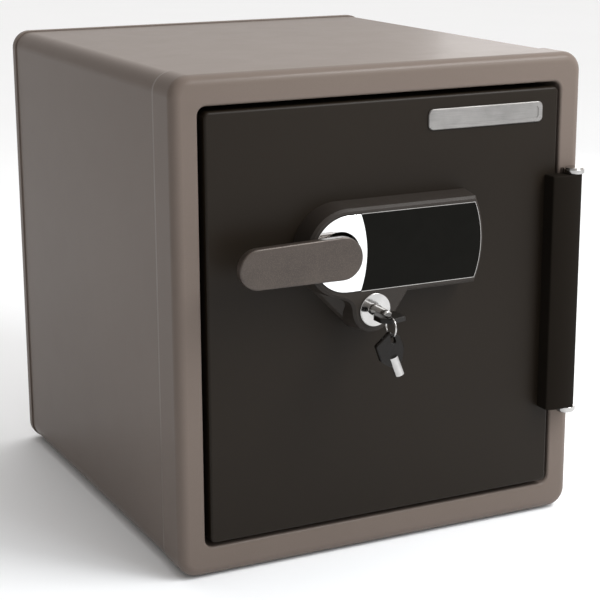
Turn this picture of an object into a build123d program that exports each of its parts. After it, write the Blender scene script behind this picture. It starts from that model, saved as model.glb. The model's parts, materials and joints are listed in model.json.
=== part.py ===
"""Fire-resistant home safe with a touch-panel lock, lever handle and override keys.

Millimetres, +Z up, front towards -Y, hinge on the +X side. The origin is the centre of the
bolt-down circle, on the floor below the middle of the body. The door is shut and its bolts
are drawn back, so the door is free to swing.
"""
import os
from math import asin, cos, radians, sin, sqrt

from build123d import *

# ---- body
body_width = 415.0
body_height = 453.0          # floor to top
body_depth = 448.0
foot_proud = 2.0             # gap under the body
corner_radius = 18.0         # long edges, front to back
front_edge_radius = 9.0
rear_edge_radius = 8.0
sheet = 1.2                  # body steel
gap = 0.3                    # assembly gap between stacked pieces
collar_depth = 45.0          # front frame, front to back
rear_pan_depth = 15.0
seam_overlap = 6.0           # the wrap runs this far under the collar and the rear pan
seam_bevel = (0.9, 5.0)      # long bevel on the rear lip of the collar: across, along
seam_radius = 0.9            # rounded lip of the rear pan
wrap_inset = 1.3             # step from the collar down to the wrap

# ---- door opening, widths and heights as half sizes about the opening's centre
opening_centre_z = 228.0
opening_half = (183.5, 198.5)
opening_radius = 8.0
stop_depth = 42.0            # front face to the lip behind the door
throat_half = (172.0, 187.0)
throat_end = 96.0            # front face to the start of the cavity
cavity_half = (160.0, 175.5)
cavity_end = 398.0
liner_wall = 2.5
front_inner_radius = 2.5
ledge = 5.0                  # shelf ledges on the liner's side walls
shelf_z = 235.0

# ---- door
door_half = (179.0, 194.0)
door_proud = 3.0
door_back = 40.0             # rear face of the slab
door_sheet = 1.5
back_plate = 2.0
plug_half = (166.0, 181.0)   # inner panel at its root
plug_taper = 6.0             # how much narrower it is at its rear face
plug_end = 80.0
plug_wall = 2.5
plug_radius = 14.0
door_radius = 5.0
pocket_z, rack_z = 132.0, 336.0
panel_screw_points = [(-145, 60), (0, 60), (145, 60), (145, 228), (-145, 396), (0, 396), (145, 396)]

# ---- hinge
pin_x = 194.5
pin_depth = -10.6            # in front of the body's front face
pin_radius = 4.0
bar_end_radius = 7.6
bar_low, bar_high = 112.0, 340.5
bar_left_x = 166.5
bar_rise = 18.0              # height of the bar's left wall above the body's front face
bar_screw_x = 172.5
bar_screw_heights = [135.0, 226.0, 317.0]
bush_radius, bush_length = 5.5, 15.0
pin_length = 13.0            # inside the bar
bracket_radius = 9.6
bracket_thickness = 4.2
bracket_arm_x, bracket_arm_width, bracket_reach = 192.8, 12.0, 16.0
bracket_lows = (bar_low - 0.3 - bracket_thickness, bar_high + 0.3)

# ---- handle, spindle and bolt work
hub_x, hub_z = -64.5, 292.0
lever_tip_x, lever_tip_z = -147.0, 291.0
hub_radius, tip_radius = 19.3, 18.0    # rounded ends of the lever
hub_end_shift = -2.0         # centre of the inner end, from the axis
lever_front, lever_back = -42.0, -32.0
neck_radius, neck_end = 17.2, -24.0
collar_radius = 14.0
plate_hole = (hub_x + 1.0, hub_z, 20.9)
spindle_radius = 6.0
handle_swing = 70.0          # degrees, lever level to lever down
bolt_throw = 20.0
bolt_radius = 8.0
bolt_depth = 62.0            # bolt axis behind the front face
bolt_heights = [opening_centre_z + step for step in (-135.0, -45.0, 45.0, 135.0)]
bolt_tip_x = -161.5          # drawn back
carriage_x = -106.0          # bolt-side face of the carriage flange
arm_front, arm_back = 50.0, 53.0
arm_low, arm_high = 270.0, 320.0
crank_radius = bolt_throw / 2 / sin(radians(handle_swing / 2))
crank_pin_radius = 3.0
crank_rest = (hub_x + bolt_throw / 2, hub_z + crank_radius * cos(radians(handle_swing / 2)))
crank_top_z = hub_z + crank_radius
cam_front, cam_back = 44.0, 47.5
arm_end_x = -45.0
guide_x = -150.0
guide_screw_points = [(guide_x + 14, opening_centre_z + step) for step in (-140.0, -90.0, 90.0, 140.0)]
plunger_x, plunger_tip_z, plunger_radius = -85.0, 268.5, 3.5

# ---- control unit on the door
panel_x, panel_z = -54.5, 292.3        # centre of the rounded left end
panel_half_height = 34.5
panel_right_centre_x = -13.4           # centre of the shallow arc that ends the panel
panel_right_radius = 94.4
divide_x, divide_radius = -136.8, 101.0  # arc between the bright plate and the glass
housing_front = -28.0
housing_margin = 3.2
housing_draft = 5.2                    # base is this much larger than the front, all round
housing_wall = 2.2
housing_bevel = 2.4                    # bevel round the front face
gusset_radii = (42.0, 23.2)            # swell between the round end and the lock lobe, at the door
gusset_steps = [(-door_proud, 0.0), (-7.5, 2.0), (-19.0, 15.0)]   # depth and shrink of each outline
lock_x, lock_z = -28.0, 239.0
lobe_radius = 18.4
lock_face_radius = 15.2
housing_posts = [(-40.0, 321.0), (-40.0, 264.0), (74.0, 292.0)]
board_x, battery_x = 24.0, 28.0
cable_x, cable_z = -12.0, 262.0
nameplate_x, nameplate_z = 100.0, 400.5

# ---- keys
key_barrel_radius = 4.7
key_barrel_end = -52.5
bow_thickness = 4.4
bow_hole = (5.0, 5.8)        # centre of the ring slot, from the middle of the bow's ring end
bow_hole_size = (4.6, 8.0)
ring_radius, ring_wire = 8.7, 0.8
ring_x = lock_x - bow_hole[0]
ring_depth = -66.5
bow_drop = 0.9               # the bow lies this much below the middle of its tube
bow_bevel = 0.8
ring_z = lock_z - bow_drop + bow_thickness / 2 + 0.6 - (ring_radius - ring_wire)
spare_lean = 22.0            # the spare key hangs with its weight below the ring

# ---- feet
foot_x, foot_y, foot_radius = 140.0, 118.0, 18.0
bolt_hole_radius = 5.5
bolted_feet = [(-foot_x, -foot_y), (foot_x, foot_y)]
screwed_feet = [(foot_x, -foot_y), (-foot_x, foot_y)]

front_y = -body_depth / 2
body_centre_z = (foot_proud + body_height) / 2


def front(depth):
    """Plane facing the viewer, at a depth behind the body's front face."""
    return Plane(origin=(0, front_y + depth, 0), x_dir=(1, 0, 0), z_dir=(0, -1, 0))


def back(depth):
    """Plane facing away from the viewer, where sketch x runs towards -X."""
    return Plane(origin=(0, front_y + depth, 0), x_dir=(-1, 0, 0), z_dir=(0, 1, 0))


def mirrored(points):
    """Points for a sketch on a back() plane."""
    return [(-x, z) for x, z in points]


def write(piece, name):
    """Label a finished piece and write its STEP file."""
    piece.label = name
    export_step(piece, f"parts/{name}.step")


def body_outline(grow=0.0, mode=Mode.ADD):
    """Rounded outline of the whole body, seen from the front."""
    with Locations((0, body_centre_z)):
        RectangleRounded(body_width + 2 * grow, body_height - foot_proud + 2 * grow,
                         corner_radius + grow, mode=mode)


def window(half, grow=0.0, radius=opening_radius, mode=Mode.ADD):
    """Rounded rectangle about the opening's centre."""
    with Locations((0, opening_centre_z)):
        RectangleRounded(2 * (half[0] + grow), 2 * (half[1] + grow), radius, mode=mode)


def round_bar(plane, points, radius, length, mode=Mode.ADD):
    """Round bars or bores of one size, from points on a plane towards its normal."""
    spots = [plane.location * Location((x, y, 0)) for x, y in points]
    with Locations(*spots):
        Cylinder(radius, length, align=(Align.CENTER, Align.CENTER, Align.MIN), mode=mode)


def cut_round(plane, points, radius, length):
    """Bore holes of one size into the part being built."""
    round_bar(plane, points, radius, length, Mode.SUBTRACT)


def turned(plane, centre, radius, length, mode=Mode.ADD):
    """One round bar or bore."""
    round_bar(plane, [centre], radius, length, mode)


def screw(plane, points, head_radius, head_height, shank_radius, shank_length):
    """Screws whose heads stand on a plane, with the shanks behind it."""
    round_bar(plane, points, head_radius, head_height)
    round_bar(plane.offset(-shank_length), points, shank_radius, shank_length)


# ------------------------------------------------------------------ body

def make_front_frame():
    """Steel collar with the door frame, its inner return and the stop lip."""
    with BuildPart() as core:
        with BuildSketch(front(collar_depth)):
            body_outline(-sheet)
        extrude(amount=collar_depth - sheet)
        fillet(core.edges().group_by(Axis.Y)[0], front_edge_radius - sheet)
        with BuildSketch(front(collar_depth)):
            window(opening_half, sheet, opening_radius + sheet)
        extrude(amount=collar_depth, mode=Mode.SUBTRACT)
    with BuildPart() as frame:
        with BuildSketch(front(collar_depth)):
            body_outline()
        extrude(amount=collar_depth)
        fillet(frame.edges().group_by(Axis.Y)[0], front_edge_radius)
        with BuildSketch(front(stop_depth)):
            window(opening_half)
        extrude(amount=stop_depth, mode=Mode.SUBTRACT)
        with BuildSketch(front(collar_depth)):
            window(throat_half)
        extrude(amount=collar_depth, mode=Mode.SUBTRACT)
        with BuildSketch(front(collar_depth)):
            window(opening_half, 2 * sheet)
        extrude(amount=collar_depth - stop_depth - sheet, mode=Mode.SUBTRACT)
        add(core.part, mode=Mode.SUBTRACT)
        rim = frame.edges().group_by(Axis.Y)[0].filter_by(
            lambda e: abs(e.center().X) < opening_half[0] + 1
            and abs(e.center().Z - opening_centre_z) < opening_half[1] + 1)
        fillet(rim, front_inner_radius)
        lip = frame.faces().group_by(Axis.Y)[-1].sort_by(lambda f: f.bounding_box().size.X)[-1]
        chamfer(lip.outer_wire().edges(), *seam_bevel, reference=lip)
        for low in bracket_lows:
            with BuildSketch(Plane.XY.offset(low - 0.1)):
                with Locations((bracket_arm_x, front_y)):
                    Rectangle(bracket_arm_width + 0.2, 20)
            extrude(amount=bracket_thickness + 0.2, mode=Mode.SUBTRACT)
    write(frame.part, "front_frame")


def make_outer_wrap():
    """Folded sheet round the body, tucked under the collar and the rear pan."""
    start = collar_depth - seam_overlap
    end = body_depth - rear_pan_depth + seam_overlap
    with BuildPart() as wrap:
        with BuildSketch(front(end)):
            body_outline(-wrap_inset)
            body_outline(-wrap_inset - sheet, Mode.SUBTRACT)
        extrude(amount=end - start)
        cut_round(Plane.XY, bolted_feet, bolt_hole_radius, 20)
        cut_round(Plane.XY, screwed_feet, 2.1, 20)
    write(wrap.part, "outer_wrap")


def make_rear_panel():
    """Pressed rear pan."""
    with BuildPart() as core:
        with BuildSketch(front(body_depth - sheet)):
            body_outline(-sheet)
        extrude(amount=rear_pan_depth)
        fillet(core.edges().group_by(Axis.Y)[-1], rear_edge_radius - sheet)
    with BuildPart() as pan:
        with BuildSketch(front(body_depth)):
            body_outline()
        extrude(amount=rear_pan_depth)
        fillet(pan.edges().group_by(Axis.Y)[-1], rear_edge_radius)
        add(core.part, mode=Mode.SUBTRACT)
        fillet(pan.faces().group_by(Axis.Y)[0].sort_by(Axis.Z)[0].outer_wire().edges(), seam_radius)
    write(pan.part, "rear_panel")


def make_body_insulation():
    """Cast fire insulation between the steel and the liner."""
    with BuildPart() as cast:
        with BuildSketch(front(body_depth - rear_edge_radius)):
            body_outline(-wrap_inset - sheet - gap)
        extrude(amount=body_depth - rear_edge_radius - front_edge_radius)
        with BuildSketch(front(stop_depth + sheet + gap)):
            window(opening_half, sheet + gap)
        extrude(amount=stop_depth, mode=Mode.SUBTRACT)
        with BuildSketch(front(throat_end + liner_wall + gap)):
            window(throat_half, liner_wall + gap)
        extrude(amount=throat_end, mode=Mode.SUBTRACT)
        with BuildSketch(front(cavity_end + liner_wall + gap)):
            window(cavity_half, liner_wall + gap)
        extrude(amount=cavity_end - throat_end, mode=Mode.SUBTRACT)
        with BuildSketch(front(bolt_depth + 14)):
            with Locations((-throat_half[0] - 10, opening_centre_z)):
                Rectangle(20, 2 * 150)
        extrude(amount=28, mode=Mode.SUBTRACT)
        cut_round(Plane.XY, bolted_feet, bolt_hole_radius, 100)
        cut_round(Plane.XY, screwed_feet, 2.1, 22)
        for low in bracket_lows:
            with BuildSketch(Plane.XY.offset(low - 0.3)):
                with Locations((bracket_arm_x, front_y)):
                    Rectangle(bracket_arm_width + 0.6, 2 * bracket_reach + 0.6)
            extrude(amount=bracket_thickness + 0.6, mode=Mode.SUBTRACT)
    write(cast.part, "body_insulation")


def make_inner_liner():
    """Moulded liner: a wide throat for the door plug, then the cavity with two shelf ledges."""
    rear = cavity_end + liner_wall
    with BuildPart() as liner:
        with BuildSketch(front(throat_end + liner_wall)):
            window(throat_half, liner_wall)
        extrude(amount=throat_end + liner_wall - stop_depth - sheet - 0.1)
        with BuildSketch(front(rear)):
            window(cavity_half, liner_wall)
        extrude(amount=rear - throat_end)
        with BuildSketch(front(throat_end)):
            window(throat_half)
        extrude(amount=throat_end, mode=Mode.SUBTRACT)
        with BuildSketch(front(cavity_end)):
            window(cavity_half)
        extrude(amount=cavity_end, mode=Mode.SUBTRACT)
        with BuildSketch(front(cavity_end)):
            with Locations(*[(s * (cavity_half[0] - ledge / 2), shelf_z - 3) for s in (-1, 1)]):
                Rectangle(ledge, 6)
        extrude(amount=cavity_end - throat_end - 20)
        cut_round(Plane.XY, bolted_feet, bolt_hole_radius, 100)
        cut_round(Plane.YZ.offset(-cavity_half[0] - 20), [(front_y + bolt_depth, z) for z in bolt_heights],
                  bolt_radius + 2, 16)
    write(liner.part, "inner_liner")


def make_bolt_keeper():
    """Steel strip behind the liner that the four bolts shoot into."""
    with BuildPart() as keeper:
        with BuildSketch(Plane.YZ.offset(-throat_half[0] - liner_wall - 3.3)):
            with Locations((front_y + bolt_depth, opening_centre_z)):
                RectangleRounded(24, 296, 4)
                with Locations(*[(0, z - opening_centre_z) for z in bolt_heights]):
                    Circle(bolt_radius + 1, mode=Mode.SUBTRACT)
        extrude(amount=3)
    write(keeper.part, "bolt_keeper")


def make_door_seal():
    """Rubber seal on the stop lip."""
    with BuildPart() as seal:
        with BuildSketch(front(stop_depth)):
            window(opening_half, -1.0)
            window(throat_half, 1.5, mode=Mode.SUBTRACT)
        extrude(amount=1.6)
    write(seal.part, "door_seal")


def make_shelf():
    """Removable tray shelf with a turned-up front edge and vent slots."""
    width = 2 * cavity_half[0] - 2
    depth = 270.0
    with BuildPart() as shelf:
        with BuildSketch(Plane.XY.offset(shelf_z)):
            with Locations((0, front_y + cavity_end - 2 - depth / 2)):
                RectangleRounded(width, depth, 6)
                with GridLocations(46, 70, 6, 3):
                    SlotOverall(34, 7, mode=Mode.SUBTRACT)
        extrude(amount=3)
        with BuildSketch(Plane.XY.offset(shelf_z)):
            with Locations((0, front_y + cavity_end - 2 - depth + 2)):
                Rectangle(width - 12, 4)
        extrude(amount=12)
    write(shelf.part, "shelf")


def make_feet():
    """Four low rubber feet, two of them with a hole for a floor bolt, two held by a screw."""
    with BuildPart() as feet:
        with BuildSketch():
            with Locations(*bolted_feet, *screwed_feet):
                Circle(foot_radius)
        extrude(amount=foot_proud + wrap_inset - 0.05)
        fillet(feet.edges().group_by(Axis.Z)[0], 0.6)
        cut_round(Plane.XY, bolted_feet, bolt_hole_radius, 20)
        cut_round(Plane.XY, screwed_feet, 5.0, 1.4)
        cut_round(Plane.XY, screwed_feet, 2.1, 20)
    write(feet.part, "rubber_feet")
    with BuildPart() as screws:
        underside = Plane(origin=(0, 0, 1.4), x_dir=(1, 0, 0), z_dir=(0, 0, -1))
        screw(underside, [(x, -y) for x, y in screwed_feet], 4.6, 1.1, 2.0, 14)
    write(screws.part, "foot_screws")


# ------------------------------------------------------------------ hinge

def make_hinge():
    """Fixed brackets and pins on the body, and the bar with its bushes on the door."""
    axis = (pin_x, front_y + pin_depth)
    for side, low in zip(("lower", "upper"), bracket_lows):
        up = side == "upper"
        with BuildPart() as bracket:
            with BuildSketch(Plane.XY.offset(low)):
                with Locations(axis):
                    Circle(bracket_radius)
                with Locations((bracket_arm_x, front_y + (bracket_reach + pin_depth) / 2)):
                    Rectangle(bracket_arm_width, bracket_reach - pin_depth)
                with Locations(axis):
                    Circle(pin_radius + 0.05, mode=Mode.SUBTRACT)
            extrude(amount=bracket_thickness)
            rims = bracket.edges().filter_by(GeomType.CIRCLE).filter_by(
                lambda e: e.radius > bracket_radius - 1)
            fillet(rims, 0.6)
        write(bracket.part, f"hinge_bracket_{side}")
        with BuildPart() as pin:
            outer = low + bracket_thickness if up else low
            inner = low - pin_length if up else low + bracket_thickness + pin_length
            with BuildSketch(Plane.XY.offset(min(outer, inner))):
                with Locations(axis):
                    Circle(pin_radius)
            extrude(amount=abs(outer - inner))
            with BuildSketch(Plane.XY.offset(outer if up else outer - 1.6)):
                with Locations(axis):
                    Circle(bracket_radius - 0.8)
            extrude(amount=1.6)
            head = pin.edges().group_by(Axis.Z)[-1 if up else 0]
            fillet(head, 1.4)
        write(pin.part, f"hinge_pin_{side}")

    px, py = axis
    nose = radians(-64)
    shoulder = (px + bar_end_radius * cos(nose), py + bar_end_radius * sin(nose))
    left, seat = bar_left_x, front_y - door_proud
    with BuildPart() as bar:
        with BuildSketch(Plane.XY.offset(bar_low)):
            with BuildLine():
                Line((left, seat), (px, seat))
                ThreePointArc((px, seat), (px + bar_end_radius, py), shoulder)
                TangentArc(shoulder, (left, front_y - bar_rise), tangent=(sin(nose), -cos(nose)))
                Line((left, front_y - bar_rise), (left, seat))
            make_face()
            fillet(vertices().sort_by(Axis.X)[:2].sort_by(Axis.Y)[0], 2.0)
        extrude(amount=bar_high - bar_low)
        chamfer(bar.edges().group_by(Axis.Z)[-1], 0.8)
        chamfer(bar.edges().group_by(Axis.Z)[0], 0.8)
        for plane in (Plane.XY.offset(bar_high - bush_length), Plane.XY.offset(bar_low)):
            turned(plane, axis, bush_radius, bush_length, Mode.SUBTRACT)
        cut_round(front(-door_proud), [(bar_screw_x, z) for z in bar_screw_heights], 2.1, 9)
    write(bar.part, "hinge_bar")
    with BuildPart() as bushes:
        for low in (bar_high - bush_length, bar_low):
            with BuildSketch(Plane.XY.offset(low)):
                with Locations(axis):
                    Circle(bush_radius)
                    Circle(pin_radius + 0.05, mode=Mode.SUBTRACT)
            extrude(amount=bush_length)
    write(bushes.part, "hinge_bushes")
    with BuildPart() as screws:
        points = mirrored([(bar_screw_x, z) for z in bar_screw_heights])
        screw(back(-door_proud + door_sheet), points, 3.8, 2.4, 2.0, 9.5)
    write(screws.part, "hinge_bar_screws")


# ------------------------------------------------------------------ door

def make_door_skin():
    """Pressed steel door front with its folded edges."""
    hollow = door_back + door_proud - back_plate
    with BuildPart() as skin:
        with BuildSketch(front(door_back - back_plate)):
            window(door_half, radius=door_radius)
        extrude(amount=hollow)
        fillet(skin.edges().group_by(Axis.Y)[0], 2.5)
        with BuildSketch(front(door_back - back_plate)):
            window(door_half, -door_sheet, door_radius - door_sheet)
        extrude(amount=hollow - door_sheet, mode=Mode.SUBTRACT)
        cut_round(front(5), [(hub_x, hub_z)], collar_radius + 0.1, 20)
        cut_round(front(5), [(lock_x, lock_z)], 12, 20)
        cut_round(front(5), [(cable_x, cable_z)], 6, 20)
        cut_round(front(5), housing_posts, 2.1, 20)
        cut_round(front(5), [(bar_screw_x, z) for z in bar_screw_heights], 2.1, 20)
    write(skin.part, "door_skin")


def make_door_insulation():
    """Cast fire insulation inside the door slab."""
    rear = door_back - back_plate - gap
    with BuildPart() as cast:
        with BuildSketch(front(rear)):
            window(door_half, -door_sheet - gap, door_radius - door_sheet - gap)
        extrude(amount=rear + door_proud - door_sheet - gap)
        cut_round(front(rear), [(hub_x, hub_z)], 16, 60)
        cut_round(front(24), [(lock_x, lock_z)], 26, 60)
        cut_round(front(rear), [(cable_x, cable_z)], 6, 60)
        cut_round(front(6), [(bar_screw_x, z) for z in bar_screw_heights], 5, 20)
        cut_round(front(6), housing_posts, 5, 20)
    write(cast.part, "door_insulation")


def make_door_back_plate():
    """Steel plate that closes the slab and carries the bolt work."""
    with BuildPart() as plate:
        with BuildSketch(front(door_back)):
            window(door_half, radius=door_radius)
        extrude(amount=back_plate)
        cut_round(front(door_back), [(hub_x, hub_z)], 10.05, 10)
        cut_round(front(door_back), [(cable_x, cable_z)], 6, 10)
        cut_round(front(door_back), panel_screw_points, 2.1, 10)
        cut_round(front(door_back), guide_screw_points, 2.1, 10)
    write(plate.part, "door_back_plate")


def make_door_inner_panel():
    """Moulded inner door panel that covers the bolt work, tapered towards its rear face."""
    with BuildPart() as hollow:
        with BuildSketch(front(door_back)):
            window(plug_half, -plug_wall, plug_radius)
        with BuildSketch(front(plug_end - plug_wall)):
            window(plug_half, -plug_taper - plug_wall, plug_radius)
        loft()
    with BuildPart() as panel:
        with BuildSketch(front(door_back)):
            window(plug_half, radius=plug_radius)
        with BuildSketch(front(plug_end)):
            window(plug_half, -plug_taper, plug_radius)
        loft()
        fillet(panel.edges().group_by(Axis.Y)[-1], 4)
        add(hollow.part, mode=Mode.SUBTRACT)
        for x, z in panel_screw_points:
            turned(front(plug_end - 0.5), (x, z), 5, plug_end - door_back - 0.5)
            turned(front(plug_end + 1), (x, z), 2.1, plug_end - door_back + 2, Mode.SUBTRACT)
        cut_round(Plane.YZ.offset(-plug_half[0] - 2), [(front_y + bolt_depth, z) for z in bolt_heights],
                  bolt_radius + 0.6, 12)
    write(panel.part, "door_inner_panel")
    with BuildPart() as screws:
        screw(back(plug_end), mirrored(panel_screw_points), 4.2, 2.2, 2.0, plug_end - door_back + 1.8)
    write(screws.part, "inner_panel_screws")


def make_door_pocket():
    """Open-topped document pocket on the rear face of the door."""
    depth = 13.0
    with BuildPart() as pocket:
        with BuildSketch(front(plug_end + depth)):
            with Locations((0, pocket_z)):
                RectangleRounded(220, 84, 8)
        extrude(amount=depth)
        with BuildSketch(front(plug_end + depth - 2)):
            with Locations((0, pocket_z + 12)):
                Rectangle(214, 104)
        extrude(amount=depth - 4, mode=Mode.SUBTRACT)
    write(pocket.part, "door_pocket")


def make_key_rack():
    """Strip of key hooks on the rear face of the door."""
    with BuildPart() as rack:
        with BuildSketch(front(plug_end + 2)):
            with Locations((0, rack_z)):
                RectangleRounded(150, 16, 3)
        extrude(amount=2)
        for x in range(-60, 61, 30):
            with BuildSketch(Plane.YZ.offset(x - 1.5)):
                with Locations((front_y + plug_end, rack_z - 2)):
                    with Locations((5.5, 0)):
                        Rectangle(8, 3)
                    with Locations((8.25, 3)):
                        Rectangle(2.5, 7)
            extrude(amount=3)
    write(rack.part, "key_rack")


# ------------------------------------------------------------------ bolt work

def make_bolt_guide():
    """Angle on the back plate: its upright carries the four bolts."""
    length = 300.0
    with BuildPart() as guide:
        with BuildSketch(front(door_back + 2)):
            with Locations((guide_x + 11, opening_centre_z)):
                Rectangle(22, length)
        extrude(amount=2)
        with BuildSketch(Plane.YZ.offset(guide_x)):
            with Locations((front_y + door_back + 17, opening_centre_z)):
                Rectangle(34, length)
        extrude(amount=3)
        cut_round(Plane.YZ.offset(guide_x - 1), [(front_y + bolt_depth, z) for z in bolt_heights],
                  bolt_radius + 0.05, 6)
        cut_round(front(door_back + 3), guide_screw_points, 2.1, 6)
    write(guide.part, "bolt_guide")
    with BuildPart() as screws:
        screw(back(door_back + 2), mirrored(guide_screw_points), 3.6, 2.0, 2.0, 3.8)
    write(screws.part, "bolt_guide_screws")


def make_bolts():
    """Four round bolts with domed noses, spigoted into the carriage."""
    length = carriage_x - bolt_tip_x
    with BuildPart() as bolts:
        with BuildSketch(Plane.YZ.offset(bolt_tip_x)):
            with Locations(*[(front_y + bolt_depth, z) for z in bolt_heights]):
                Circle(bolt_radius)
        extrude(amount=length)
        fillet(bolts.edges().group_by(Axis.X)[0], 2.0)
    write(bolts.part, "locking_bolts")


def make_bolt_carriage():
    """Flange that ties the bolts together, with the arm that the crank pin drives."""
    with BuildPart() as carriage:
        with BuildSketch(Plane.YZ.offset(carriage_x)):
            with Locations((front_y + arm_front + 12, opening_centre_z)):
                Rectangle(24, 296)
        extrude(amount=3)
        with BuildSketch(front(arm_back)):
            with Locations(((carriage_x + arm_end_x) / 2, (arm_low + arm_high) / 2)):
                Rectangle(arm_end_x - carriage_x, arm_high - arm_low)
            with Locations((crank_rest[0], (crank_rest[1] + crank_top_z) / 2)):
                SlotOverall(crank_top_z - crank_rest[1] + 2 * crank_pin_radius + 1.6,
                            2 * crank_pin_radius + 0.8, rotation=90, mode=Mode.SUBTRACT)
            with Locations(*[(plunger_x + shift, arm_low) for shift in (0, bolt_throw)]):
                Rectangle(9, 12, mode=Mode.SUBTRACT)
        extrude(amount=arm_back - arm_front)
    write(carriage.part, "bolt_carriage")


def make_drive_train():
    """Spindle from the handle through the door, its bearings, and the crank behind the back plate."""
    with BuildPart() as spindle:
        turned(front(cam_front), (hub_x, hub_z), spindle_radius, cam_front - lever_back - 2)
        turned(front(cam_back), (hub_x, hub_z), 4.0, cam_back - cam_front)
    write(spindle.part, "spindle")
    with BuildPart() as crank:
        turned(front(cam_back), (hub_x, hub_z), crank_radius + 4.6, cam_back - cam_front)
        turned(front(cam_back), (hub_x, hub_z), 4.05, cam_back - cam_front, Mode.SUBTRACT)
        turned(front(arm_back + 2), crank_rest, crank_pin_radius, arm_back + 2 - cam_back + 1)
    write(crank.part, "drive_crank")
    with BuildPart() as clip:
        with BuildSketch(front(arm_front - 0.5)):
            with Locations((hub_x, hub_z)):
                Circle(6.5)
        extrude(amount=arm_front - 0.5 - cam_back)
    write(clip.part, "crank_retainer")
    with BuildPart() as bush:
        turned(front(door_back + 2), (hub_x, hub_z), 13, 2)
        turned(front(door_back), (hub_x, hub_z), 10, 6)
        turned(front(door_back + 3), (hub_x, hub_z), spindle_radius + 0.05, 12, Mode.SUBTRACT)
    write(bush.part, "spindle_bush")
    with BuildPart() as collar:
        turned(front(2), (hub_x, hub_z), collar_radius, 24)
        turned(front(3), (hub_x, hub_z), spindle_radius + 0.05, 28, Mode.SUBTRACT)
    write(collar.part, "spindle_collar")


def make_solenoid():
    """Solenoid that locks the carriage: its plunger lifts into a notch in the arm."""
    y = front_y + (arm_front + arm_back) / 2
    with BuildPart() as body:
        with BuildSketch(Plane.XY.offset(plunger_tip_z - 34)):
            with Locations((plunger_x, y)):
                Rectangle(20, 19)
                Circle(plunger_radius + 0.05, mode=Mode.SUBTRACT)
        extrude(amount=30)
        fillet(body.edges().filter_by(Axis.Z).filter_by(lambda e: e.geom_type == GeomType.LINE), 1)
        with BuildSketch(front(door_back + 2)):
            with Locations((plunger_x, plunger_tip_z - 19)):
                Rectangle(34, 24)
        extrude(amount=2)
    write(body.part, "solenoid_body")
    with BuildPart() as plunger:
        with BuildSketch(Plane.XY.offset(plunger_tip_z - 30)):
            with Locations((plunger_x, y)):
                Circle(plunger_radius)
        extrude(amount=30)
        chamfer(plunger.edges().group_by(Axis.Z)[-1], 0.8)
    write(plunger.part, "solenoid_plunger")


# ------------------------------------------------------------------ control unit

def housing_outline(grow):
    """Outline of the control unit: rounded left end, shallow right arc, lobe round the key lock."""
    radius = panel_half_height + housing_margin + grow
    right = panel_right_radius + 1.5 + grow
    lobe = lobe_radius + grow
    right_x = panel_right_centre_x + sqrt(right ** 2 - radius ** 2)
    left_end = radians(244.5)
    joint = (panel_x + radius * cos(left_end), panel_z + radius * sin(left_end))
    lobe_left = (lock_x - lobe, lock_z - 1)
    slope = radians(-35)
    lobe_right = (lock_x + lobe * cos(slope), lock_z + lobe * sin(slope))
    floor_z = panel_z - radius
    run = (floor_z - lobe_right[1]) / cos(slope)
    heel = (lobe_right[0] - run * sin(slope), floor_z)
    with BuildLine() as edge:
        Line((right_x, panel_z + radius), (panel_x, panel_z + radius))
        ThreePointArc((panel_x, panel_z + radius), (panel_x - radius, panel_z), joint)
        Spline(joint, lobe_left, tangents=[(-sin(left_end), cos(left_end)), (0, -1)])
        ThreePointArc(lobe_left, (lock_x, lock_z - lobe), lobe_right)
        Line(lobe_right, heel)
        Line(heel, (right_x, floor_z))
        ThreePointArc((right_x, floor_z), (panel_right_centre_x + right, panel_z),
                      (right_x, panel_z + radius))
    make_face(edge.edges())


def panel_face(grow=0.0):
    """Outline of the plate and glass together."""
    half = panel_half_height + grow
    with Locations((panel_x, panel_z)):
        Circle(half)
    with Locations((panel_x + 100, panel_z)):
        Rectangle(200, 2 * half)
    with Locations((panel_right_centre_x, panel_z)):
        Circle(panel_right_radius + grow, mode=Mode.INTERSECT)


def make_control_housing():
    """Moulded housing on the door front, drafted, open at the back."""
    base, face = -door_proud, housing_front
    inner_front = housing_front + 1.6 + housing_wall
    draft_left = housing_draft * (inner_front - face) / (base - face)
    with BuildPart() as hollow:
        with BuildSketch(front(base)):
            housing_outline(housing_draft - housing_wall)
        with BuildSketch(front(inner_front)):
            housing_outline(draft_left - housing_wall)
        loft()
    with BuildPart() as housing:
        with BuildSketch(front(base)):
            housing_outline(housing_draft)
        with BuildSketch(front(face + housing_bevel)):
            housing_outline(housing_bevel)
        loft()
        with BuildSketch(front(face + housing_bevel)):
            housing_outline(housing_bevel)
        with BuildSketch(front(face)):
            housing_outline(0)
        loft()
        for low, high in zip(gusset_steps, gusset_steps[1:]):
            for depth, shrink in (low, high):
                with BuildSketch(front(depth)):
                    with Locations((panel_x, panel_z)):
                        Circle(gusset_radii[0] - shrink)
                    with Locations((lock_x, lock_z)):
                        Circle(gusset_radii[1] - shrink)
                    make_hull()
            loft()
        add(hollow.part, mode=Mode.SUBTRACT)
        for x, z in housing_posts:
            turned(front(base), (x, z), 4, base - inner_front + 0.5)
            turned(front(base), (x, z), 1.9, 14, Mode.SUBTRACT)
        with BuildSketch(front(face + 1.6)):
            panel_face(0.8)
        extrude(amount=4, mode=Mode.SUBTRACT)
        cut_round(front(inner_front + 1), [plate_hole[:2]], plate_hole[2], 10)
        cut_round(front(inner_front + 1), [(lock_x, lock_z)], 9.7, 10)
    write(housing.part, "control_housing")
    with BuildPart() as screws:
        screw(back(base + door_sheet), mirrored(housing_posts), 3.6, 2.0, 1.8, 12)
    write(screws.part, "housing_screws")


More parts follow.
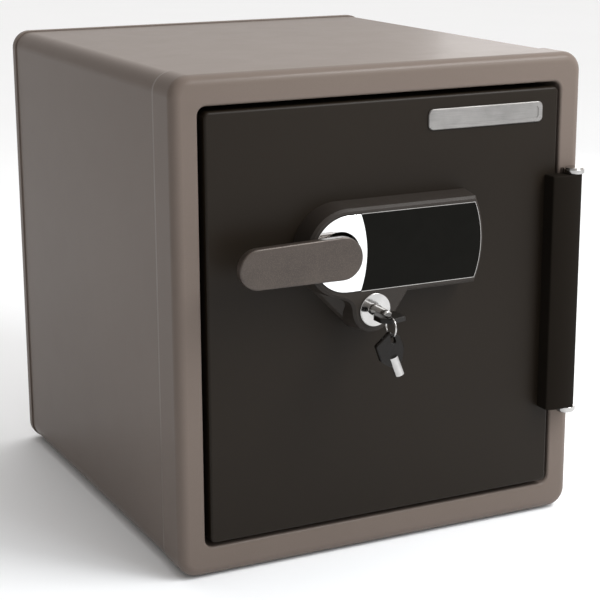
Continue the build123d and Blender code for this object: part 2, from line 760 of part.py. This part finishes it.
def make_panel_faces():
    """Bright plate round the handle, the touch glass and the thin trim round the glass."""
    with BuildPart() as plate:
        with BuildSketch(front(housing_front + 1.5)):
            panel_face()
            with Locations((divide_x, panel_z)):
                Circle(divide_radius, mode=Mode.INTERSECT)
            with Locations(plate_hole[:2]):
                Circle(plate_hole[2], mode=Mode.SUBTRACT)
        extrude(amount=1.5)
        fillet(plate.edges().group_by(Axis.Y)[0], 0.3)
    write(plate.part, "escutcheon_plate")
    with BuildPart() as glass:
        with BuildSketch(front(housing_front + 1.5)):
            panel_face()
            with Locations((divide_x, panel_z)):
                Circle(divide_radius + 0.2, mode=Mode.SUBTRACT)
        extrude(amount=1.7)
        fillet(glass.edges().group_by(Axis.Y)[0], 0.3)
    write(glass.part, "touch_glass")
    with BuildPart() as trim:
        with BuildSketch(front(housing_front + 1.5)):
            panel_face(0.7)
            panel_cut()
            with Locations((divide_x, panel_z)):
                Circle(divide_radius + 0.2, mode=Mode.SUBTRACT)
        extrude(amount=2.0)
    write(trim.part, "glass_trim")


def panel_cut():
    """Take the plate and glass outline out of a sketch."""
    with BuildSketch() as face:
        panel_face(0.1)
    add(face.sketch, mode=Mode.SUBTRACT)


def make_electronics():
    """Circuit board, battery tray and cells inside the housing, and the lead to the solenoid."""
    board_back = housing_front + 6.5
    with BuildPart() as board:
        with BuildSketch(front(board_back)):
            with Locations((board_x, panel_z)):
                RectangleRounded(86, 64, 3)
                with GridLocations(78, 56, 2, 2):
                    Circle(1.6, mode=Mode.SUBTRACT)
        extrude(amount=1.6)
        with BuildSketch(front(board_back + 2)):
            with Locations((board_x - 26, panel_z + 4)):
                Rectangle(14, 14)
            with Locations((board_x + 24, panel_z + 12)):
                Rectangle(9, 7)
        extrude(amount=2)
    write(board.part, "circuit_board")
    rows = [battery_x + (i - 1.5) * 15.0 for i in range(4)]
    low = panel_z - 26
    axis_y = front_y - door_proud - 8.2
    with BuildPart() as tray:
        with BuildSketch(Plane.XY.offset(low - 1.8)):
            with Locations((battery_x, axis_y)):
                Rectangle(64, 16)
        extrude(amount=56)
        with BuildSketch(Plane.XY.offset(low)):
            with Locations((battery_x, axis_y - 0.8)):
                Rectangle(60.8, 16)
        extrude(amount=52.4, mode=Mode.SUBTRACT)
    write(tray.part, "battery_tray")
    with BuildPart() as cells:
        with BuildSketch(Plane.XY.offset(low + 0.7)):
            with Locations(*[(x, axis_y) for x in rows]):
                Circle(7.1)
        extrude(amount=49)
        with BuildSketch(Plane.XY.offset(low + 49.7)):
            with Locations(*[(x, axis_y) for x in rows]):
                Circle(2.7)
        extrude(amount=1.3)
    write(cells.part, "batteries")
    with BuildPart() as lead:
        start, run = front_y + housing_front + 6.6, front_y + (arm_front + arm_back) / 2
        with BuildLine():
            FilletPolyline((cable_x, start, cable_z), (cable_x, run, cable_z),
                           (plunger_x + 10.2, run, cable_z), radius=7)
        with BuildSketch(Plane(origin=(cable_x, start, cable_z), x_dir=(1, 0, 0), z_dir=(0, 1, 0))):
            Circle(1.8)
        sweep()
    write(lead.part, "solenoid_lead")


def tapered_slot(centre_a, radius_a, centre_b, radius_b):
    """Outline round two circles of different size, the first on the right."""
    (ax, az), (bx, bz) = centre_a, centre_b
    span = sqrt((ax - bx) ** 2 + (az - bz) ** 2)
    ux, uz = (bx - ax) / span, (bz - az) / span
    lean = asin((radius_a - radius_b) / span)
    corners = []
    for side, (cx, cz), radius in ((1, centre_a, radius_a), (1, centre_b, radius_b),
                                   (-1, centre_b, radius_b), (-1, centre_a, radius_a)):
        along, across = radius * sin(lean), side * radius * cos(lean)
        corners.append((cx + along * ux - across * uz, cz + along * uz + across * ux))
    start_side = (ax - radius_a * ux, az - radius_a * uz)
    end_side = (bx + radius_b * ux, bz + radius_b * uz)
    with BuildLine() as edge:
        Line(corners[0], corners[1])
        ThreePointArc(corners[1], end_side, corners[2])
        Line(corners[2], corners[3])
        ThreePointArc(corners[3], start_side, corners[0])
    make_face(edge.edges())


def make_handle():
    """Flat lever with its round neck, bored for the spindle."""
    with BuildPart() as lever:
        with BuildSketch(front(lever_back)):
            tapered_slot((hub_x + hub_end_shift, hub_z), hub_radius, (lever_tip_x, lever_tip_z), tip_radius)
        extrude(amount=lever_back - lever_front)
        fillet(lever.edges().group_by(Axis.Y)[0], 1.6)
        fillet(lever.edges().group_by(Axis.Y)[-1], 3.5)
        turned(front(neck_end), (hub_x, hub_z), neck_radius, neck_end - lever_back + 1)
        turned(front(neck_end), (hub_x, hub_z), spindle_radius + 0.05, neck_end - lever_back - 1.8,
               Mode.SUBTRACT)
    write(lever.part, "handle_lever")


# ------------------------------------------------------------------ key lock and keys

def make_lock():
    """Round override lock: flanged body, nut, turning plug and the cam on its tail."""
    lock = (lock_x, lock_z)
    face = housing_front - 1.6
    with BuildPart() as body:
        turned(front(housing_front), lock, lock_face_radius, 1.6)
        fillet(body.edges().group_by(Axis.Y)[0], 0.6)
        turned(front(6), lock, 9.5, 6 - housing_front)
        turned(front(7), lock, 6.05, 40, Mode.SUBTRACT)
    write(body.part, "lock_body")
    with BuildPart() as nut:
        with BuildSketch(front(housing_front + 9.2)):
            with Locations(lock):
                RegularPolygon(13, 6)
                Circle(9.55, mode=Mode.SUBTRACT)
        extrude(amount=5)
    write(nut.part, "lock_nut")
    with BuildPart() as plug:
        turned(front(8), lock, 6.0, 8 - face)
        with BuildSketch(front(face + 6)):
            with Locations(lock):
                Circle(key_barrel_radius + 0.1)
                Circle(2.85, mode=Mode.SUBTRACT)
        extrude(amount=8, mode=Mode.SUBTRACT)
        turned(front(11.5), lock, 3.0, 4)
    write(plug.part, "lock_plug")
    with BuildPart() as cam:
        with BuildSketch(front(10.5)):
            tapered_slot(lock, 8, (lock_x, lock_z - 15), 5)
            with Locations(lock):
                Circle(3.05, mode=Mode.SUBTRACT)
        extrude(amount=2.2)
    write(cam.part, "lock_cam")


def bow_outline():
    """Rounded shield of a key bow with its ring slot; y runs from the ring end towards the barrel."""
    with BuildLine() as edge:
        FilletPolyline((-12, 3.5), (5, -2), (12.5, 5.5), (12.5, 18), (6.5, 28.5), (-6, 28.5), (-12.5, 19),
                       radius=2.2, close=True)
    make_face(edge.edges())
    with Locations(bow_hole):
        RectangleRounded(*bow_hole_size, 2.0, mode=Mode.SUBTRACT)


def make_lock_key():
    """Key in the lock: notched tube and the flat bow moulded round it."""
    lock = (lock_x, lock_z)
    tube_front = housing_front + 4.2
    with BuildPart() as barrel:
        turned(front(tube_front), lock, key_barrel_radius, tube_front - key_barrel_end)
        turned(front(tube_front), lock, 3.0, 12, Mode.SUBTRACT)
        turned(front(-31.6), lock, key_barrel_radius + 0.8, 1.6)
        fillet(barrel.edges().group_by(Axis.Y)[0], 1.8)
    write(barrel.part, "key_barrel")
    level = Plane(origin=(lock_x, front_y + ring_depth, lock_z - bow_drop + bow_thickness / 2),
                  x_dir=(-1, 0, 0), z_dir=(0, 0, -1))
    with BuildPart() as bow:
        with BuildSketch(level):
            bow_outline()
        extrude(amount=bow_thickness)
        chamfer(bow.faces().filter_by(Axis.Z).sort_by(Axis.Z)[-1].outer_wire().edges(), bow_bevel)
        turned(front(-30), lock, key_barrel_radius + 0.05, -30 - key_barrel_end + 0.1, Mode.SUBTRACT)
    write(bow.part, "key_bow")


def make_key_ring():
    """Split ring through both bows."""
    centre = (ring_x, front_y + ring_depth, ring_z)
    with BuildPart() as ring:
        with BuildSketch(Plane(origin=(ring_x, centre[1], ring_z + ring_radius),
                               x_dir=(1, 0, 0), z_dir=(0, 1, 0))):
            Circle(ring_wire)
        revolve(axis=Axis(centre, (1, 0, 0)), revolution_arc=360)
    write(ring.part, "key_ring")


def make_spare_key():
    """Spare key hanging from the ring; its off-centre slot makes it lean."""
    lean = radians(spare_lean)
    down = (sin(lean), 0, -cos(lean))
    across = (cos(lean), 0, sin(lean))
    wire = (bow_hole[0], bow_hole[1] - bow_hole_size[1] / 2 + ring_wire + 0.4)
    origin = [hang - wire[0] * a - wire[1] * d for hang, a, d in
              zip((ring_x, front_y + ring_depth - bow_thickness / 2, ring_z - ring_radius), across, down)]
    flat = Plane(origin=tuple(origin), x_dir=across, z_dir=(0, 1, 0))
    tube_start, tube_end = 20.5, 39.0
    middle = Vector(*origin) + Vector(0, bow_thickness / 2, 0)
    tube_plane = Plane(origin=middle + Vector(*down) * tube_start, x_dir=across, z_dir=down)
    with BuildPart() as bow:
        with BuildSketch(flat):
            bow_outline()
        extrude(amount=bow_thickness)
        chamfer(bow.faces().filter_by(Axis.Y).sort_by(Axis.Y)[0].outer_wire().edges(), bow_bevel)
        with BuildSketch(tube_plane.offset(-0.1)):
            Circle(key_barrel_radius + 0.05)
        extrude(amount=20, mode=Mode.SUBTRACT)
    write(bow.part, "spare_key_bow")
    with BuildPart() as barrel:
        with BuildSketch(tube_plane):
            Circle(key_barrel_radius)
        extrude(amount=tube_end - tube_start)
        with BuildSketch(tube_plane.offset(tube_end - tube_start)):
            Circle(3.0)
        extrude(amount=-12, mode=Mode.SUBTRACT)
        with BuildSketch(tube_plane.offset(tube_end - tube_start - 1.6)):
            with Locations((0, -key_barrel_radius)):
                Rectangle(2.2, 3.4)
        extrude(amount=3, mode=Mode.SUBTRACT)
    write(barrel.part, "spare_key_barrel")


def make_nameplate():
    """Plain raised plate with a bevelled border, and its two rivets."""
    with BuildPart() as plate:
        with BuildSketch(front(-door_proud)):
            with Locations((nameplate_x, nameplate_z)):
                RectangleRounded(122, 19, 5)
        extrude(amount=1.8)
        chamfer(plate.edges().group_by(Axis.Y)[0], 0.7)
        with BuildSketch(front(-door_proud - 1.3)):
            with Locations((nameplate_x, nameplate_z)):
                RectangleRounded(112, 11.5, 3)
        extrude(amount=1, mode=Mode.SUBTRACT)
    write(plate.part, "nameplate")


def main():
    os.makedirs("parts", exist_ok=True)
    make_front_frame()
    make_outer_wrap()
    make_rear_panel()
    make_body_insulation()
    make_inner_liner()
    make_bolt_keeper()
    make_door_seal()
    make_shelf()
    make_feet()
    make_hinge()
    make_door_skin()
    make_door_insulation()
    make_door_back_plate()
    make_door_inner_panel()
    make_door_pocket()
    make_key_rack()
    make_bolt_guide()
    make_bolts()
    make_bolt_carriage()
    make_drive_train()
    make_solenoid()
    make_control_housing()
    make_panel_faces()
    make_electronics()
    make_handle()
    make_lock()
    make_lock_key()
    make_key_ring()
    make_spare_key()
    make_nameplate()


main()
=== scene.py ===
"""Fire-resistant safe: materials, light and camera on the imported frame.

Metres, +Z up, the door faces -Y.
"""

import json
import math

import bpy
from mathutils import Matrix, Vector


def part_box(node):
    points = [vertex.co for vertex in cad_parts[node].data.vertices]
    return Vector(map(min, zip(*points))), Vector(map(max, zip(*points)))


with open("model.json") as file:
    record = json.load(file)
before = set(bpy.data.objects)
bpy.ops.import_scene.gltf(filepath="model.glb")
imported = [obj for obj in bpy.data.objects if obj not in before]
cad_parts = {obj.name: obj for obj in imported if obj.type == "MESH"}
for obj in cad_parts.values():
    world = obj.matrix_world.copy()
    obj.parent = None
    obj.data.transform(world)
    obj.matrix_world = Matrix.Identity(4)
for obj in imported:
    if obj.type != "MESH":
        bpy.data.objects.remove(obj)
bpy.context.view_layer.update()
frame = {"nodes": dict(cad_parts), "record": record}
nodes = frame["nodes"]


# Shader building -------------------------------------------------------------------------------


class Shader:
    """A Principled material with short calls for the textures that feed it."""

    def __init__(self, name):
        self.material = bpy.data.materials.new(name)
        self.material.use_nodes = True
        tree = self.material.node_tree
        tree.nodes.clear()
        self.nodes, self.links = tree.nodes, tree.links
        self.output = self.nodes.new("ShaderNodeOutputMaterial")
        self.bsdf = self.nodes.new("ShaderNodeBsdfPrincipled")
        self.links.new(self.bsdf.outputs[0], self.output.inputs[0])
        self.object = self.nodes.new("ShaderNodeTexCoord").outputs["Object"]

    def stretched(self, scale, turn=(0, 0, 0)):
        """Object coordinates scaled by a different number on each axis."""
        node = self.nodes.new("ShaderNodeMapping")
        self.links.new(self.object, node.inputs["Vector"])
        node.inputs["Rotation"].default_value = [math.radians(a) for a in turn]
        node.inputs["Scale"].default_value = scale
        return node.outputs[0]

    def noise(self, scale, detail=2.0, roughness=0.5, vector=None, distortion=0.0):
        """Noise from 0 to 1, in object coordinates unless a vector is given."""
        node = self.nodes.new("ShaderNodeTexNoise")
        self.links.new(vector or self.object, node.inputs["Vector"])
        node.inputs["Scale"].default_value = scale
        node.inputs["Detail"].default_value = detail
        node.inputs["Roughness"].default_value = roughness
        node.inputs["Distortion"].default_value = distortion
        return node.outputs["Fac"]

    def cells(self, scale):
        """Distance from the middle of each cell."""
        node = self.nodes.new("ShaderNodeTexVoronoi")
        self.links.new(self.object, node.inputs["Vector"])
        node.inputs["Scale"].default_value = scale
        return node.outputs["Distance"]

    def span(self, value, low, high, start=0.0, end=1.0):
        """value mapped from low..high to start..end, and held there outside it."""
        node = self.nodes.new("ShaderNodeMapRange")
        self.links.new(value, node.inputs["Value"])
        for name, number in (("From Min", low), ("From Max", high), ("To Min", start), ("To Max", end)):
            node.inputs[name].default_value = number
        return node.outputs[0]

    def blend(self, fac, first, second):
        """A colour between first and second, each a colour or a socket."""
        node = self.nodes.new("ShaderNodeMix")
        node.data_type = "RGBA"
        self.links.new(fac, node.inputs[0])
        for socket, colour in ((node.inputs[6], first), (node.inputs[7], second)):
            if isinstance(colour, tuple):
                socket.default_value = (*colour, 1.0)
            else:
                self.links.new(colour, socket)
        return node.outputs[2]

    def combine(self, operation, first, second):
        """ADD or MULTIPLY of two values, each a number or a socket."""
        node = self.nodes.new("ShaderNodeMath")
        node.operation = operation
        for socket, value in ((node.inputs[0], first), (node.inputs[1], second)):
            if isinstance(value, (int, float)):
                socket.default_value = value
            else:
                self.links.new(value, socket)
        return node.outputs[0]

    def relief(self, height, distance):
        """Bumps in the surface, with their depth in metres."""
        node = self.nodes.new("ShaderNodeBump")
        node.inputs["Distance"].default_value = distance
        node.inputs["Strength"].default_value = 1.0
        self.links.new(height, node.inputs["Height"])
        self.links.new(node.outputs[0], self.bsdf.inputs["Normal"])

    def set(self, **values):
        """Plain numbers on the shader's own sockets, with _ for the spaces in a socket's name."""
        for name, value in values.items():
            self.bsdf.inputs[name.replace("_", " ")].default_value = value

    def colour(self, socket):
        """Takes the base colour from a socket."""
        self.links.new(socket, self.bsdf.inputs["Base Color"])

    def roughness(self, socket):
        """Takes the roughness from a socket."""
        self.links.new(socket, self.bsdf.inputs["Roughness"])


def powder_coat(name, deep, pale, rough, level=0.5, gloss=0.0):
    """Satin paint on steel: slow drifts in tone, fine specks, and an orange-peel skin."""
    speck_shade = 0.82
    shader = Shader(name)
    drift = shader.noise(5.0, 3.0, 0.5)
    tone = shader.blend(shader.span(drift, 0.3, 0.7), deep, pale)
    speck = shader.noise(2600.0, 1.0, 0.6)
    dark = tuple(c * speck_shade for c in deep)
    shader.colour(shader.blend(shader.span(speck, 0.56, 0.74, 0.0, 0.55), tone, dark))
    wipe = shader.noise(26.0, 4.0, 0.6, distortion=0.6)
    shader.roughness(shader.span(wipe, 0.3, 0.7, rough - 0.012, rough + 0.015))
    peel = shader.noise(1100.0, 2.0, 0.55)
    shader.relief(peel, 0.00002)
    shader.set(Specular_IOR_Level=level, Coat_Weight=gloss, Coat_Roughness=0.2)
    return shader.material


def metallic_paint(name, deep, pale, rough):
    """Paint with fine metal flake, as on the lever."""
    flake_gain = 2.1
    shader = Shader(name)
    flake = shader.cells(1250.0)
    drift = shader.noise(40.0, 3.0, 0.5)
    tone = shader.blend(shader.span(drift, 0.3, 0.7), deep, pale)
    bright = tuple(min(1.0, c * flake_gain) for c in pale)
    shader.colour(shader.blend(shader.span(flake, 0.05, 0.45, 0.8, 0.0), tone, bright))
    shader.roughness(shader.span(shader.noise(1400.0, 2.0), 0.3, 0.7, rough - 0.06, rough + 0.06))
    shader.relief(shader.noise(1500.0, 2.0, 0.6), 0.000018)
    shader.set(Metallic=0.45, Coat_Weight=0.12, Coat_Roughness=0.22)
    return shader.material


def moulded(name, deep, pale, rough, depth=0.00003, level=0.45):
    """Moulded plastic with a spark-eroded grain."""
    shader = Shader(name)
    drift = shader.noise(14.0, 3.0, 0.5)
    shader.colour(shader.blend(shader.span(drift, 0.3, 0.7), deep, pale))
    shader.roughness(shader.span(shader.noise(60.0, 4.0, 0.6), 0.3, 0.7, rough - 0.05, rough + 0.05))
    pits = shader.cells(700.0)
    fine = shader.noise(1610.0, 2.0, 0.6)
    shader.relief(shader.combine("ADD", pits, fine), depth)
    shader.set(Specular_IOR_Level=level)
    return shader.material


def plated(name, deep, pale, rough):
    """Polished plating: near-mirror, with faint haze and handling marks in its roughness."""
    shader = Shader(name)
    haze = shader.noise(70.0, 4.0, 0.55)
    shader.colour(shader.blend(shader.span(haze, 0.3, 0.7), deep, pale))
    rub = shader.noise(1.0, 3.0, 0.6, vector=shader.stretched((300.0, 1600.0, 300.0), (0, 0, 20)))
    marks = shader.combine("MULTIPLY", haze, rub)
    shader.roughness(shader.span(marks, 0.12, 0.42, max(0.02, rough - 0.03), rough + 0.07))
    shader.relief(shader.noise(160.0, 2.0), 0.00001)
    shader.set(Metallic=1.0)
    return shader.material


def brushed(name, deep, pale, rough, grain):
    """Brushed or zinc-plated metal: long fine scratches along one axis over a cloudy tone."""
    shader = Shader(name)
    cloud = shader.noise(45.0, 4.0, 0.6)
    lines = shader.noise(1.0, 3.0, 0.65, vector=shader.stretched(grain))
    cloudy = shader.span(cloud, 0.25, 0.75, 0.0, 0.5)
    scratched = shader.span(lines, 0.3, 0.7, 0.0, 0.5)
    mixed = shader.combine("ADD", cloudy, scratched)
    shader.colour(shader.blend(mixed, deep, pale))
    shader.roughness(shader.span(mixed, 0.1, 0.9, rough - 0.08, rough + 0.1))
    shader.relief(lines, 0.00002)
    shader.set(Metallic=1.0)
    return shader.material


def cast_fill(name):
    """Cast insulation: chalky, with sand grains and air pits."""
    sand_share = 0.4
    pit_depth = 0.0005
    shader = Shader(name)
    cloud = shader.noise(18.0, 5.0, 0.6)
    tone = shader.blend(shader.span(cloud, 0.3, 0.7), (0.36, 0.34, 0.30), (0.52, 0.50, 0.45))
    sand = shader.noise(900.0, 2.0, 0.7)
    shader.colour(shader.blend(shader.span(sand, 0.55, 0.7, 0.0, 0.6), tone, (0.22, 0.20, 0.18)))
    pits = shader.span(shader.cells(260.0), 0.05, 0.32)
    shader.roughness(shader.span(sand, 0.3, 0.7, 0.82, 0.95))
    grains = shader.combine("MULTIPLY", sand, sand_share)
    shader.relief(shader.combine("ADD", pits, grains), pit_depth)
    return shader.material


def soft_rubber(name):
    """Black rubber with a dull bloom."""
    shader = Shader(name)
    bloom = shader.noise(120.0, 5.0, 0.6)
    bloomed = shader.span(bloom, 0.35, 0.75)
    shader.colour(shader.blend(bloomed, (0.012, 0.012, 0.012), (0.035, 0.034, 0.033)))
    shader.roughness(shader.span(bloom, 0.3, 0.7, 0.55, 0.75))
    shader.relief(shader.noise(1300.0, 3.0, 0.6), 0.00003)
    return shader.material


def black_glass(name):
    """Black panel glass: a dark ground under a hard, very slightly smudged surface."""
    shader = Shader(name)
    smudge = shader.noise(38.0, 5.0, 0.6, distortion=1.2)
    smudged = shader.span(smudge, 0.3, 0.7)
    shader.colour(shader.blend(smudged, (0.0034, 0.0032, 0.0024), (0.0044, 0.0041, 0.0032)))
    shader.roughness(shader.span(smudge, 0.35, 0.75, 0.05, 0.13))
    shader.relief(shader.noise(9.0, 1.0), 0.00002)
    shader.set(Specular_IOR_Level=0.05)
    return shader.material


def solder_mask(name):
    """Green board with track lines under the mask and paler pads."""
    shader = Shader(name)
    tracks = shader.nodes.new("ShaderNodeTexBrick")
    shader.links.new(shader.stretched((1.0, 1.0, 1.0), (90, 0, 0)), tracks.inputs["Vector"])
    tracks.inputs["Scale"].default_value = 90.0
    tracks.inputs["Mortar Size"].default_value = 0.05
    tracks.inputs["Color1"].default_value = (0.004, 0.050, 0.018, 1.0)
    tracks.inputs["Color2"].default_value = (0.005, 0.064, 0.024, 1.0)
    tracks.inputs["Mortar"].default_value = (0.020, 0.150, 0.050, 1.0)
    pads = shader.span(shader.cells(420.0), 0.08, 0.16, 0.85, 0.0)
    shader.colour(shader.blend(pads, tracks.outputs["Color"], (0.60, 0.55, 0.40)))
    shader.roughness(shader.span(shader.noise(200.0, 3.0), 0.3, 0.7, 0.22, 0.4))
    shader.relief(tracks.outputs["Fac"], 0.00006)
    return shader.material


def cell_sleeve(name, low, high):
    """Dry-cell sleeve: a plain coloured band at one end and a dark shrink sleeve for the rest."""
    length = high - low
    band_start, band_end = low + length * 0.72, low + length * 0.73
    cap_start, cap_end = high - 0.0014, high - 0.0010
    shader = Shader(name)
    split = shader.nodes.new("ShaderNodeSeparateXYZ")
    shader.links.new(shader.object, split.inputs[0])
    band = shader.span(split.outputs[0], band_start, band_end)
    cap = shader.span(split.outputs[0], cap_start, cap_end)
    ground = shader.blend(band, (0.018, 0.018, 0.020), (0.52, 0.24, 0.07))
    shader.colour(shader.blend(cap, ground, (0.55, 0.55, 0.54)))
    wear = shader.noise(180.0, 4.0, 0.6)
    shader.roughness(shader.span(wear, 0.3, 0.7, 0.22, 0.38))
    shader.relief(shader.noise(420.0, 2.0), 0.00002)
    shader.set(Metallic=0.35)
    return shader.material


# Finishes, one for each material slot of the record ----------------------------------------------

cell_low, cell_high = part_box("batteries")
fine_grain = (40.0, 40.0, 2600.0)
plating_grain = (60.0, 60.0, 1500.0)
brass_grain = (60.0, 60.0, 1700.0)
finishes = {
    "body_paint": powder_coat("body_paint", (0.136, 0.109, 0.0935), (0.143, 0.115, 0.0985),
                              0.36, level=0.05, gloss=0.12),
    "door_paint": powder_coat("door_paint", (0.0098, 0.0067, 0.0040), (0.0112, 0.0077, 0.0046),
                              0.44, level=0.15),
    "bar_paint": powder_coat("bar_paint", (0.0090, 0.0072, 0.0055), (0.0100, 0.0080, 0.0062),
                             0.60, level=0.02),
    "insulation": cast_fill("insulation"),
    "liner_plastic": moulded("liner_plastic", (0.120, 0.120, 0.118), (0.140, 0.139, 0.136), 0.55),
    "shelf_plastic": moulded("shelf_plastic", (0.060, 0.060, 0.060), (0.074, 0.073, 0.072), 0.50),
    "bearing_plastic": moulded("bearing_plastic", (0.62, 0.61, 0.57), (0.70, 0.69, 0.64),
                               0.42, depth=0.00001),
    "lead_plastic": moulded("lead_plastic", (0.30, 0.012, 0.008), (0.36, 0.018, 0.012),
                            0.32, depth=0.00001),
    "housing_plastic": moulded("housing_plastic", (0.0200, 0.0156, 0.0124), (0.0232, 0.0184, 0.0148),
                               0.50, level=0.26),
    "bow_plastic": moulded("bow_plastic", (0.0050, 0.0038, 0.0029), (0.0068, 0.0052, 0.0040),
                           0.30, depth=0.00002, level=0.22),
    "board_green": solder_mask("board_green"),
    "cell_jacket": cell_sleeve("cell_jacket", cell_low.x, cell_high.x),
    "seal_rubber": soft_rubber("seal_rubber"),
    "zinc_steel": brushed("zinc_steel", (0.42, 0.42, 0.40), (0.62, 0.61, 0.58), 0.34, plating_grain),
    "chrome_steel": plated("chrome_steel", (0.40, 0.39, 0.38), (0.50, 0.49, 0.48), 0.11),
    "bush_brass": brushed("bush_brass", (0.50, 0.36, 0.14), (0.64, 0.48, 0.21), 0.30, brass_grain),
    "bright_plate": plated("bright_plate", (0.93, 0.93, 0.93), (0.97, 0.97, 0.97), 0.10),
    "trim_metal": plated("trim_metal", (0.34, 0.325, 0.31), (0.40, 0.385, 0.37), 0.16),
    "plate_metal": brushed("plate_metal", (0.20, 0.195, 0.19), (0.36, 0.35, 0.34), 0.38, fine_grain),
    "handle_metal": metallic_paint("handle_metal", (0.044, 0.034, 0.028), (0.058, 0.045, 0.037), 0.36),
    "panel_glass": black_glass("panel_glass"),
}

for part in frame["record"]["subparts"]:
    mesh = nodes[part["node"]].data
    mesh.materials.clear()
    mesh.materials.append(finishes[part["material_slot"]])


# Floor, light and camera -------------------------------------------------------------------------


def make_floor():
    """Pale plain floor under the safe."""
    mesh = bpy.data.meshes.new("floor")
    reach = 60.0
    corners = [(-reach, -reach, 0), (reach, -reach, 0), (reach, reach, 0), (-reach, reach, 0)]
    mesh.from_pydata(corners, [], [(0, 1, 2, 3)])
    floor = bpy.data.objects.new("floor", mesh)
    bpy.context.scene.collection.objects.link(floor)
    shader = Shader("floor_white")
    shader.colour(shader.blend(shader.noise(3.0), (0.925, 0.945, 0.965), (0.945, 0.965, 0.985)))
    shader.set(Roughness=0.9, Specular_IOR_Level=0.1)
    mesh.materials.append(shader.material)


def make_world(left, right):
    """White surroundings, darker on the hinge-free side so that the edges read."""
    world = bpy.data.worlds.new("studio")
    world.use_nodes = True
    tree = world.node_tree
    place = tree.nodes.new("ShaderNodeTexCoord")
    split = tree.nodes.new("ShaderNodeSeparateXYZ")
    ramp = tree.nodes.new("ShaderNodeMapRange")
    tree.links.new(place.outputs["Generated"], split.inputs[0])
    tree.links.new(split.outputs["X"], ramp.inputs["Value"])
    for name, number in (("From Min", -0.9), ("From Max", 0.35), ("To Min", left), ("To Max", right)):
        ramp.inputs[name].default_value = number
    warm_white = (1.0, 0.966, 0.938, 1.0)
    tree.nodes["Background"].inputs[0].default_value = warm_white
    tree.links.new(ramp.outputs[0], tree.nodes["Background"].inputs[1])
    bpy.context.scene.world = world


def area_light(name, place, target, size, power, tint=(1.0, 1.0, 1.0)):
    """A soft box that stands out of the picture and faces its target."""
    light = bpy.data.lights.new(name, "AREA")
    light.shape = "RECTANGLE"
    light.size, light.size_y = size
    light.energy = power
    light.color = tint
    lamp = bpy.data.objects.new(name, light)
    lamp.location = place
    lamp.rotation_mode = "QUATERNION"
    lamp.rotation_quaternion = (Vector(target) - Vector(place)).to_track_quat("-Z", "Y")
    lamp.visible_camera = False
    bpy.context.scene.collection.objects.link(lamp)


def sun_light(name, towards, strength, spread):
    """A soft sun; towards is the direction it comes from, and spread its angle in degrees."""
    light = bpy.data.lights.new(name, "SUN")
    light.energy = strength
    light.angle = math.radians(spread)
    lamp = bpy.data.objects.new(name, light)
    lamp.rotation_mode = "QUATERNION"
    lamp.rotation_quaternion = Vector(towards).to_track_quat("Z", "Y")
    bpy.context.scene.collection.objects.link(lamp)


def make_camera(place, yaw, pitch, roll, lens):
    """yaw turns the view from +Y towards +X, pitch tips it down, and roll turns it about its own line."""
    y, p, r = (math.radians(a) for a in (yaw, pitch, roll))
    ahead = Vector((math.sin(y) * math.cos(p), math.cos(y) * math.cos(p), -math.sin(p)))
    level = Vector((math.cos(y), -math.sin(y), 0.0))
    rise = level.cross(ahead)
    right = math.cos(r) * level + math.sin(r) * rise
    up = math.cos(r) * rise - math.sin(r) * level
    data = bpy.data.cameras.new("camera")
    data.lens = lens
    data.sensor_width = 36.0
    data.clip_start, data.clip_end = 0.05, 200.0
    camera = bpy.data.objects.new("camera", data)
    basis = Matrix((right, up, -ahead)).transposed()
    camera.matrix_world = Matrix.Translation(place) @ basis.to_4x4()
    bpy.context.scene.collection.objects.link(camera)
    bpy.context.scene.camera = camera


bpy.context.scene.view_settings.view_transform = "Standard"
make_floor()
make_world(left=0.27, right=1.0)
sun_light("overhead", towards=(0.35, 0.40, 1.0), strength=0.68, spread=60.0)
area_light("back_right", (1.45, 1.20, 0.85), target=(0.2, 0.1, 0.42), size=(1.0, 0.8), power=3.3)
area_light("above", (0.55, -0.75, 1.12), target=(0.0, -0.2, 0.34), size=(0.6, 0.3), power=9.0)
area_light("front_right", (1.3, -2.3, 1.9), target=(0.0, -0.2, 0.25), size=(1.6, 1.6), power=34.0,
           tint=(0.96, 1.0, 1.03))
make_camera((-0.729, -1.518, 0.627), yaw=26.34, pitch=14.69, roll=-0.21, lens=100.9)
